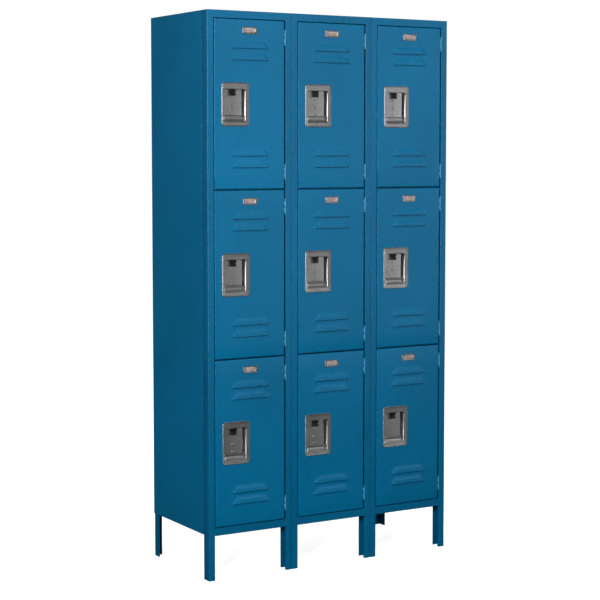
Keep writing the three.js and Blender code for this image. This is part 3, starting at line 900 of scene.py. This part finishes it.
def side_profile(bm, profile, x0, x1, ease, steps=3):
    """A bar whose side view is profile, in (y, z) millimetres, with its two ends rounded over."""
    cy = sum(p[0] for p in profile) / len(profile)
    cz = sum(p[1] for p in profile) / len(profile)
    stations = []
    for k in range(steps, -1, -1):
        turn = math.radians(90 * k / steps)
        stations.append((x0 + ease * (1 - math.sin(turn)), ease * (1 - math.cos(turn))))
    stations += [(x0 + x1 - x, inset) for x, inset in reversed(stations)]
    rings = []
    for x, inset in stations:
        ring = []
        for y, z in profile:
            dy, dz = y - cy, z - cz
            reach = math.hypot(dy, dz)
            scale = max(0.05, (reach - inset) / reach)
            ring.append((x * MM, (cy + dy * scale) * MM, (cz + dz * scale) * MM))
        rings.append(ring)
    loft(bm, rings, start_cap=True, end_cap=True)


def lift_mesh():
    """Moulded lift: a bar over a curved finger tab, a stem through the cover, and the latch slide."""
    bm = bmesh.new()
    left, _, _, top = pan_frame()
    middle = left + COVER_WIDTH / 2
    back = COVER_FRONT - LIFT_CLEARANCE
    bar_low = top - LIFT_BAR_HEIGHT
    bar = [
        (back, bar_low), (back, top), (1.6, top), (0.7, top - 0.5), (0.4, top - 1.6),
        (0.4, bar_low + 1.0), (0.9, bar_low + 0.2), (1.6, bar_low),
    ]
    side_profile(bm, bar, middle - LIFT_WIDTH / 2, middle + LIFT_WIDTH / 2, 0.9)
    tab_high = bar_low - LIFT_TAB_DROP
    tab_low = tab_high - LIFT_TAB_HEIGHT + LIFT_TAB_DROP
    tab = [
        (back, tab_low), (back, tab_high), (0.2, tab_high), (-0.7, tab_high - 0.5),
        (-0.8, tab_high - 2.0), (-1.0, tab_high - 4.0), (-1.7, tab_high - 6.0), (-3.0, tab_high - 7.4),
        (LIFT_TAB_FRONT, tab_low + 1.2), (LIFT_TAB_FRONT, tab_low + 0.5), (-3.4, tab_low), (-1.5, tab_low),
    ]
    side_profile(bm, tab, middle - LIFT_TAB_WIDTH / 2, middle + LIFT_TAB_WIDTH / 2, 1.2)
    stem_left, stem_right = middle - LIFT_STEM_WIDTH / 2, middle + LIFT_STEM_WIDTH / 2
    slab(bm, (stem_left, 1.0, tab_low + 1), (stem_right, back, top - 1), 0.4)
    stem_top = top - LIFT_STEM_DROP
    slide_front = COVER_FRONT + PAN_SHEET + LIFT_CLEARANCE
    slab(
        bm,
        (stem_left, back - 1, stem_top - LIFT_STEM_HEIGHT),
        (stem_right, slide_front + 0.6, stem_top),
        0.4,
    )
    slide_middle = stem_top - LIFT_STEM_HEIGHT / 2
    slab(
        bm,
        (middle - LIFT_SLIDE_WIDTH / 2, slide_front, slide_middle - LIFT_SLIDE_WIDTH / 2),
        (middle + LIFT_SLIDE_WIDTH / 2, slide_front + DOOR_SHEET, slide_middle + LIFT_SLIDE_WIDTH / 2),
        0.3,
    )
    return finish_mesh(bm, "finger_lift", [black_plastic], 35)


# ---------------------------------------------------------------- number plate

def plate_mesh():
    """A pressed plate with a raised border round its window."""
    bm = bmesh.new()
    half_w, half_h = PLATE_WIDTH / 2, PLATE_HEIGHT / 2
    window = (-half_w + PLATE_BORDER, half_w - PLATE_BORDER, -5.6, 8.4)
    rings = []
    for inset, y in ((0.5, 0.0), (0.0, -0.3), (0.0, -0.8), (0.35, -1.25), (0.9, -1.4), (1.5, -1.3)):
        wide, tall = half_w - inset, half_h - inset
        rings.append(rounded_ring(-wide, wide, -tall, tall, PLATE_CORNER - inset * 0.6, y))
    wx0, wx1, wz0, wz1 = window
    for grow, y in ((1.1, -1.3), (0.6, -1.2), (0.15, -0.8), (0.0, -0.35)):
        rings.append(rounded_ring(wx0 - grow, wx1 + grow, wz0 - grow, wz1 + grow, 2.0 + grow, y))
    loft(bm, rings)
    return finish_mesh(bm, "number_plate", [plate_metal], 40)


def rivets_mesh():
    bm = bmesh.new()
    for x in (-PLATE_RIVET_SPREAD, PLATE_RIVET_SPREAD):
        dome(bm, x, 0.6, -1.2, 2.2, 1.1, sides=16, rows=5)
    return finish_mesh(bm, "plate_rivets", [rivet_metal], 60)


def card_mesh():
    bm = bmesh.new()
    rings = []
    for inset, y in ((0.0, -0.32), (2.0, -0.40), (6.0, -0.46)):
        half = PLATE_WIDTH / 2 - PLATE_BORDER + 0.4 - inset
        rings.append(rounded_ring(-half, half, -6.0 + inset, 8.8 - inset, 1.0, y, 3))
    loft(bm, rings, end_cap=True)
    return finish_mesh(bm, "plate_card", [card], 60)


# ---------------------------------------------------------------- side bolts

def plug(bm, face, inward, y, z, steps, sides=20):
    """A round solid across a side's face; steps are its radius and its depth behind the face."""
    rings = []
    for radius, depth in steps:
        rings.append([
            (face + inward * depth * MM, y + radius * math.cos(a) * MM, z + radius * math.sin(a) * MM)
            for a in (math.tau * k / sides for k in range(sides))
        ])
    loft(bm, rings, start_cap=True, end_cap=True)


def add_bolts():
    """Socket-head bolts set flush in round holes of the two outer uprights."""
    for unit, inward in ((1, 1), (UNITS, -1)):
        frame_node = nodes[f"unit_{unit}_frame"]
        low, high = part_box(f"unit_{unit}_frame")
        face = low.x if inward > 0 else high.x
        holes, heads = bmesh.new(), bmesh.new()
        for height in BOLT_HEIGHTS:
            y, z = low.y + BOLT_BACK * MM, height * MM
            plug(holes, face, inward, y, z, ((BOLT_HOLE, -2.0), (BOLT_HOLE, 4.0)))
            plug(heads, face, inward, y, z, (
                (BOLT_RADIUS, 3.2), (BOLT_RADIUS, 0.7), (BOLT_RADIUS - 0.5, 0.25),
                (BOLT_RADIUS - 1.3, 0.1), (BOLT_RADIUS - 1.6, 0.5), (BOLT_RADIUS - 1.7, 1.6),
            ))
        cutter = bpy.data.objects.new(f"bolt_holes_{unit}", finish_mesh(holes, f"bolt_holes_{unit}", []))
        cutter.hide_render = True
        cutter.display_type = "WIRE"
        bpy.context.scene.collection.objects.link(cutter)
        weld = frame_node.modifiers.new("weld", "WELD")
        weld.merge_threshold = 1e-6
        cut = frame_node.modifiers.new("bolt_holes", "BOOLEAN")
        cut.operation = "DIFFERENCE"
        cut.object = cutter
        bolts = finish_mesh(heads, f"bolt_heads_{unit}", [bolt_metal], 35)
        put(f"unit_{unit}_bolts", bolts, "cabinet", (0, 0, 0))


# ---------------------------------------------------------------- carried-over CAD nodes

def smoothing_group():
    """Welds a CAD node's facets and shades its bends smooth."""
    group = bpy.data.node_groups.new("soft_bends", "GeometryNodeTree")
    group.interface.new_socket("Geometry", in_out="INPUT", socket_type="NodeSocketGeometry")
    group.interface.new_socket("Geometry", in_out="OUTPUT", socket_type="NodeSocketGeometry")
    entry = group.nodes.new("NodeGroupInput")
    leave = group.nodes.new("NodeGroupOutput")
    strip = group.nodes.new("GeometryNodeRemoveAttribute")
    strip.inputs["Name"].default_value = "custom_normal"
    weld = group.nodes.new("GeometryNodeMergeByDistance")
    weld.inputs["Distance"].default_value = 1e-6
    soft = group.nodes.new("GeometryNodeSetShadeSmooth")
    crisp = group.nodes.new("GeometryNodeSetShadeSmooth")
    crisp.domain = "EDGE"
    crisp.inputs["Shade Smooth"].default_value = False
    bend = group.nodes.new("GeometryNodeInputMeshEdgeAngle")
    wide = group.nodes.new("FunctionNodeCompare")
    wide.data_type = "FLOAT"
    wide.operation = "GREATER_THAN"
    wide.inputs[1].default_value = math.radians(50)
    link = group.links.new
    link(entry.outputs[0], strip.inputs["Geometry"])
    link(strip.outputs[0], weld.inputs["Geometry"])
    link(weld.outputs[0], soft.inputs["Geometry"])
    link(soft.outputs[0], crisp.inputs["Geometry"])
    link(bend.outputs["Unsigned Angle"], wide.inputs[0])
    link(wide.outputs[0], crisp.inputs["Selection"])
    link(crisp.outputs[0], leave.inputs[0])
    return group


def dress_nodes():
    group = smoothing_group()
    for obj in nodes.values():
        for index, held in enumerate(obj.material_slots):
            stem = held.material.name.split(".")[0]
            obj.material_slots[index].material = SLOT_MATERIALS[stem]
        obj.modifiers.new("soft_bends", "NODES").node_group = group


# ---------------------------------------------------------------- assembly

def build_doors():
    pan = pan_mesh()
    lift = lift_mesh()
    plate = plate_mesh()
    rivets = rivets_mesh()
    label = card_mesh()
    for tier in range(1, TIERS + 1):
        low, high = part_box(f"door_1_{tier}_panel")
        height = (high.z - low.z) / MM
        sheet = door_mesh(height, tier)
        knuckles = door_knuckles_mesh(height, tier)
        sleeves = frame_sleeves_mesh(height, tier)
        for unit in range(1, UNITS + 1):
            stem = f"door_{unit}_{tier}"
            low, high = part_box(f"{stem}_panel")
            corner = Vector((low.x, low.y + LOUVER_PROJECTION * MM, low.z))
            middle = corner + Vector((0, 0, height / 2 * MM))
            panel = put(f"{stem}_sheet", sheet, stem, corner, [f"{stem}_panel"])
            thicken(panel, DOOR_SHEET)
            put(f"{stem}_knuckles", knuckles, stem, corner)
            put(f"{stem}_hinge_sleeves", sleeves, "cabinet", corner)
            put(f"{stem}_pan", pan, stem, middle, [f"{stem}_handle_pan"])
            lift_body = f"lift_{unit}_{tier}"
            put(f"{stem}_lift", lift, lift_body, middle, [f"{stem}_finger_lift"])
            plate_low, plate_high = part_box(f"{stem}_number_plate")
            centre = (plate_low + plate_high) / 2
            centre.y = plate_high.y + 0.0002
            put(f"{stem}_plate", plate, stem, centre, [f"{stem}_number_plate"])
            put(f"{stem}_plate_rivets", rivets, stem, centre)
            put(f"{stem}_plate_card", label, stem, centre)


add_camera()
add_world()
add_floor()
add_lights()
add_bolts()
dress_nodes()
build_doors()
bpy.context.scene.view_settings.view_transform = "Standard"
